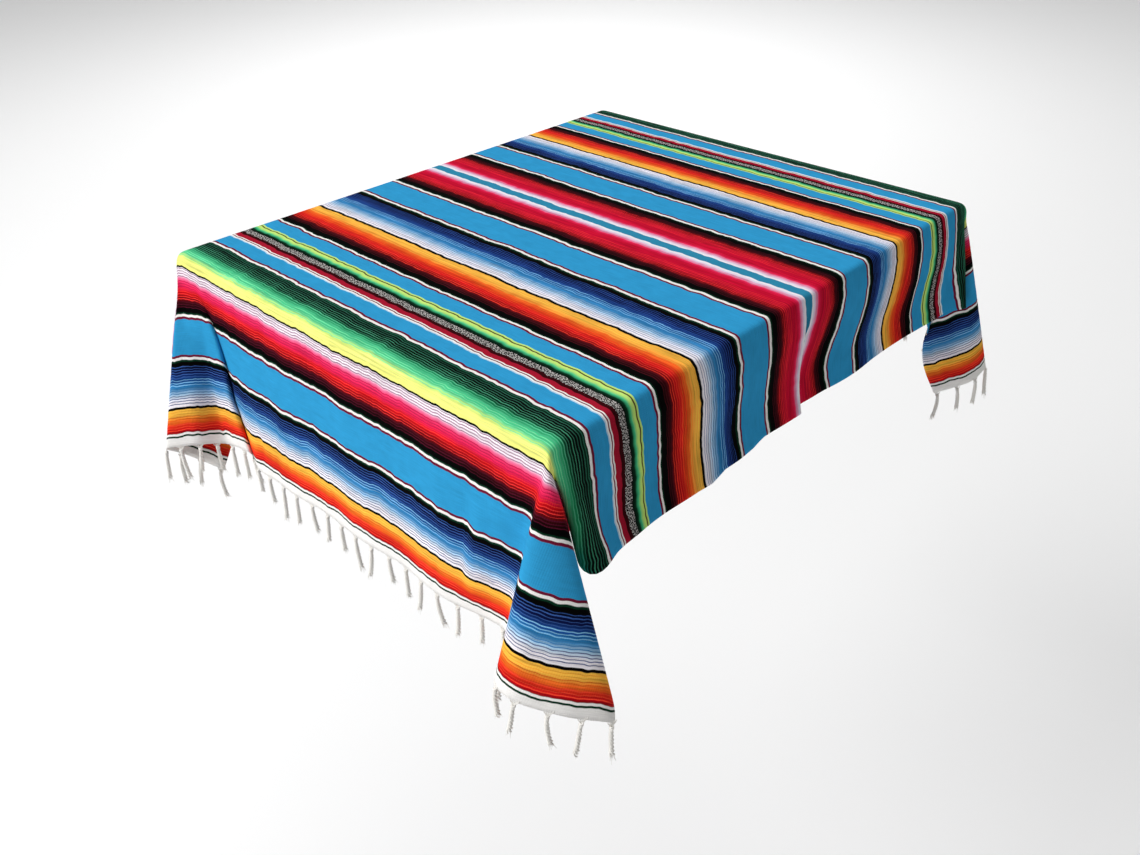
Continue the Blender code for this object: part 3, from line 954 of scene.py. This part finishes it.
def woven_material():
    material, tree, shader = new_material("woven_stripes", ROUGHNESS)
    shader.inputs["Specular IOR Level"].default_value = CLOTH_SPECULAR

    # place on the flat cloth in metres, u along the blanket and v across it
    layout = tree.nodes.new("ShaderNodeUVMap")
    layout.uv_map = "OFBake"
    parts = tree.nodes.new("ShaderNodeSeparateXYZ")
    tree.links.new(layout.outputs[0], parts.inputs[0])
    from_hem = calc(tree, "DIVIDE", minus(tree, parts.outputs[0], UV_EDGE), UV_SCALE)
    u = minus(tree, from_hem, HALF_X + NEAR_DROP)
    v = calc(tree, "DIVIDE", parts.outputs[1], UV_SCALE)
    place = pattern_place(tree, u, v)
    colour = stripe_colour(tree, place)

    # pin lines inside the shaded bands, thicker and thinner along their way
    thickness = cloth_noise(tree, u, v, THICKNESS_CELLS)
    share = plus(tree, swing(tree, thickness, PIN_SHARE_SWING), PIN_SHARE)
    phase = calc(tree, "FRACT", calc(tree, "DIVIDE", place, PIN_PITCH))
    is_pin = calc(tree, "LESS_THAN", phase, share)
    pin, there = pin_colour(tree, place)
    colour = mix_colour(tree, times(tree, times(tree, there, is_pin), PIN_STRENGTH), colour, pin)

    # the marled stripe is twisted from black and white yarn
    fleck = cloth_noise(tree, u, v, FLECK_CELLS)
    past_start = calc(tree, "GREATER_THAN", place, MARL_FROM)
    is_marl = times(tree, past_start, calc(tree, "LESS_THAN", place, MARL_TO))
    is_pale = calc(tree, "GREATER_THAN", fleck, MARL_PALE_ABOVE)
    marl = mix_colour(tree, is_pale, hex_colour(YARN["marl_dark"]), hex_colour(YARN["marl_pale"]))
    colour = mix_colour(tree, is_marl, colour, marl)

    # soft streaks of the weft yarns, patches of wear, and uneven yarns in the shaded bands
    streak = cloth_noise(tree, u, v, STREAK_CELLS, detail=2.0)
    patch = cloth_noise(tree, u, v, PATCH_CELLS, detail=3.0)
    level = plus(tree, swing(tree, streak, STREAK_SWING), swing(tree, patch, PATCH_SWING))
    banding = times(tree, swing(tree, thickness, BANDING_SWING), there)
    level = plus(tree, plus(tree, level, banding), 1.0)
    shade = tree.nodes.new("ShaderNodeCombineXYZ")
    for socket in shade.inputs:
        tree.links.new(level, socket)
    colour = mix_colour(tree, 1.0, colour, shade.outputs[0], "MULTIPLY")
    tree.links.new(colour, shader.inputs["Base Color"])

    # ribs over the warps, crossed by fine weft yarns
    ribs = calc(tree, "SINE", times(tree, v, 2.0 * math.pi / RIB_PITCH))
    height = plus(tree, times(tree, ribs, RIB_HEIGHT), times(tree, streak, STREAK_HEIGHT))
    bump = tree.nodes.new("ShaderNodeBump")
    bump.inputs["Strength"].default_value = BUMP_STRENGTH
    bump.inputs["Distance"].default_value = BUMP_DISTANCE
    tree.links.new(height, bump.inputs["Height"])
    tree.links.new(bump.outputs[0], shader.inputs["Normal"])
    return material


def yarn_material():
    material, tree, shader = new_material("white_yarn", ROUGHNESS)
    shader.inputs["Specular IOR Level"].default_value = YARN_SPECULAR
    place = tree.nodes.new("ShaderNodeTexCoord").outputs["Object"]
    fibre = noise(tree, place, YARN_FIBRE_CELLS, detail=2.0)
    colour = mix_colour(tree, fibre, hex_colour(YARN["fringe_grey"]), hex_colour(YARN["fringe_white"]))
    tree.links.new(colour, shader.inputs["Base Color"])
    return material


def add_tube(verts, faces, path, radii, sides):
    # closed tube along a path of points
    path = np.array(path)
    along = np.gradient(path, axis=0)
    along /= np.linalg.norm(along, axis=1, keepdims=True)
    side = np.cross(along[0], TUBE_HINT)
    start = len(verts)
    for point, heading, radius in zip(path, along, radii):
        side = side - heading * np.dot(side, heading)
        side /= np.linalg.norm(side)
        up = np.cross(heading, side)
        for k in range(sides):
            turn = 2.0 * math.pi * k / sides
            verts.append(tuple(point + (side * math.cos(turn) + up * math.sin(turn)) * radius))
    rings = len(path)
    for i in range(rings - 1):
        for k in range(sides):
            a = start + i * sides + k
            b = start + i * sides + (k + 1) % sides
            faces.append((a, b, b + sides, a + sides))
    faces.append(tuple(start + k for k in reversed(range(sides))))
    faces.append(tuple(start + (rings - 1) * sides + k for k in range(sides)))


def add_tassel(verts, faces, root, leave, across, facing, index):
    # Warps drawn together into a knot, then twisted strands that loosen at the tip, and loose fibres.
    # The uneven factors inside the sines make every tassel hang a little differently.
    turn = index * TURN_EACH
    sway = across * math.sin(turn) * SWAY_ACROSS + facing * math.cos(turn * 1.7) * SWAY_OUT
    length = TASSEL_LENGTH * (LENGTH_SHARE + LENGTH_SWING * math.sin(index * 1.37))

    def middle(down):
        # the tassel leaves along the cloth and soon hangs straight down
        along = LEAVES_OVER * (1.0 - math.exp(-down / LEAVES_OVER))
        swayed = sway * (down / TASSEL_LENGTH) ** 2
        return root + leave * along - np.array((0.0, 0.0, down - along)) + swayed

    def around(angle):
        return across * math.cos(angle) + facing * math.sin(angle)

    for k in range(ROOT_WARPS):
        spread = (k - (ROOT_WARPS - 1) / 2.0) * ROOT_PITCH
        path = []
        for step in range(ROOT_STEPS + 1):
            part = step / ROOT_STEPS
            narrow = 1.0 - ROOT_NARROWS * smooth_step(part)
            path.append(middle(KNOT_AT * part) + across * spread * narrow)
        add_tube(verts, faces, path, [WARP_RADIUS] * len(path), sides=5)
    for tilt, drop in KNOT_LOOPS:
        path = []
        for step in range(KNOT_STEPS + 1):
            angle = 2.0 * math.pi * step / KNOT_STEPS
            lift = np.array((0.0, 0.0, math.cos(angle + turn) * KNOT_TILT * tilt))
            path.append(middle(KNOT_AT + drop) + around(angle) * KNOT_RADIUS + lift)
        add_tube(verts, faces, path, [KNOT_YARN] * len(path), sides=6)
    for k in range(STRANDS):
        path = []
        radii = []
        for step in range(STRAND_STEPS + 1):
            part = step / STRAND_STEPS
            down = KNOT_AT + (length - KNOT_AT) * part * (1.0 - 0.05 * k * math.sin(turn + k))
            at_tip = LOOSE_AT_TIP * smooth_step((part - LOOSENS_FROM) / (1.0 - LOOSENS_FROM))
            loose = LOOSE_AT_KNOT + LOOSE_BELOW * smooth_step(part * 3.0) + at_tip
            angle = 2.0 * math.pi * ((down - KNOT_AT) / TWIST_PITCH + k / STRANDS) + turn
            path.append(middle(down) + around(angle) * loose)
            taper = 1.0 - THINS_BY * smooth_step((part - THINS_FROM) / (1.0 - THINS_FROM))
            radii.append(STRAND_RADIUS * (0.85 + 0.25 * math.sin(part * math.pi)) * taper)
        add_tube(verts, faces, path, radii, sides=6)
    for k in range(TUFT_FIBRES):
        angle = 2.0 * math.pi * k / TUFT_FIBRES + turn
        spread = TUFT_SPREAD + TUFT_SPREAD_SWING * math.sin(index * 3.1 + k * 2.3)
        fibre_length = TUFT_LENGTH + TUFT_LENGTH_SWING * math.sin(k * 1.9 + index)
        path = []
        radii = []
        for step in range(TUFT_STEPS + 1):
            part = step / TUFT_STEPS
            down = length - TUFT_ABOVE + fibre_length * part
            path.append(middle(down) + around(angle) * (TUFT_START + spread * part ** 1.5))
            radii.append(TUFT_RADIUS * (1.0 - THINS_BY * part))
        add_tube(verts, faces, path, radii, sides=4)


def make_tassels(name, end_sign, drop, count_from, curves, material):
    hem = end_sign * (HALF_X + drop)
    first = -HALF_Y - SIDE_DROP + TASSEL_ROOT
    pitch = -2.0 * first / (TASSELS - 1)
    verts = []
    faces = []
    for k in range(TASSELS):
        v = first + k * pitch
        # the hem's point, one a little inside the cloth, and one to each side along the hem
        us = np.array((hem, hem - end_sign * HEM_STEP, hem, hem))
        vs = np.array((v, v, v - HEM_STEP, v + HEM_STEP))
        at_hem, inside, before, after = cloth_point(us, vs, curves)
        leave = at_hem - inside
        leave /= np.linalg.norm(leave)
        across = after - before
        across[2] = 0.0
        across /= np.linalg.norm(across)
        facing = np.array((-across[1], across[0], 0.0))
        root = at_hem - leave * ROOT_OVERLAP
        add_tassel(verts, faces, root, leave, across, facing, count_from + k)
    return new_object(name, verts, faces, material)


def make_floor():
    corners = ((-1, -1), (1, -1), (1, 1), (-1, 1))
    verts = [(x * FLOOR_HALF, y * FLOOR_HALF, FLOOR_Z) for x, y in corners]
    material, _, shader = new_material("pale_floor", FLOOR_ROUGHNESS)
    shader.inputs["Base Color"].default_value = FLOOR_COLOUR
    floor = new_object("floor", verts, [(0, 1, 2, 3)], material)


def add_light(data, place, direction):
    item = bpy.data.objects.new(data.name, data)
    item.location = place
    item.rotation_mode = "QUATERNION"
    item.rotation_quaternion = direction.to_track_quat("-Z", "Y")
    bpy.context.scene.collection.objects.link(item)


def make_lights():
    world = bpy.data.worlds.new("studio")
    world.use_nodes = True
    background = world.node_tree.nodes["Background"]
    background.inputs["Color"].default_value = (1.0, 1.0, 1.0, 1.0)
    background.inputs["Strength"].default_value = WORLD_STRENGTH
    bpy.context.scene.world = world
    for name, place, target, size, power in LAMPS:
        lamp = bpy.data.lights.new(name, "AREA")
        lamp.shape = "DISK"
        lamp.size = size
        lamp.energy = power
        add_light(lamp, place, Vector(target) - Vector(place))
    sky = bpy.data.lights.new("sky_panel", "SUN")
    sky.energy = SKY_STRENGTH
    sky.angle = math.radians(SKY_ANGLE)
    add_light(sky, (0.0, 0.0, 0.0), Vector(SKY_DIRECTION))


def make_camera():
    data = bpy.data.cameras.new("camera")
    data.lens = CAMERA_LENS
    data.sensor_width = SENSOR_WIDTH
    item = bpy.data.objects.new("camera", data)
    yaw = math.radians(CAMERA_YAW)
    pitch = math.radians(CAMERA_PITCH)
    roll = math.radians(CAMERA_ROLL)
    flat_part = math.cos(pitch)
    forward = Vector((flat_part * math.cos(yaw), flat_part * math.sin(yaw), math.sin(pitch)))
    level = Vector((math.sin(yaw), -math.cos(yaw), 0.0))
    upright = level.cross(forward)
    right = level * math.cos(roll) + upright * math.sin(roll)
    up = upright * math.cos(roll) - level * math.sin(roll)
    turned = Matrix((right, up, -forward)).transposed().to_4x4()
    item.matrix_world = Matrix.Translation(CAMERA_PLACE) @ turned
    bpy.context.scene.collection.objects.link(item)
    bpy.context.scene.camera = item


curves = [(end_sign, side_sign, fold_curve(rows, end_until, side_from), fold_start, flare_width, skew)
          for end_sign, side_sign, rows, end_until, side_from, fold_start, flare_width, skew in CORNERS]
cloth = make_cloth(curves, woven_material())
yarn = yarn_material()
near_tassels = make_tassels("near_tassels", -1, NEAR_DROP, 0, curves, yarn)
far_tassels = make_tassels("far_tassels", 1, FAR_DROP, FAR_COUNT_FROM, curves, yarn)
for piece, node, slot in (
    (cloth, "blanket_cloth", "woven_cloth"),
    (near_tassels, "near_fringe", "white_yarn"),
    (far_tassels, "far_fringe", "white_yarn"),
):
    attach(piece, "root")
    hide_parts(node)
make_floor()
make_lights()
make_camera()
bpy.context.scene.view_settings.view_transform = "Standard"
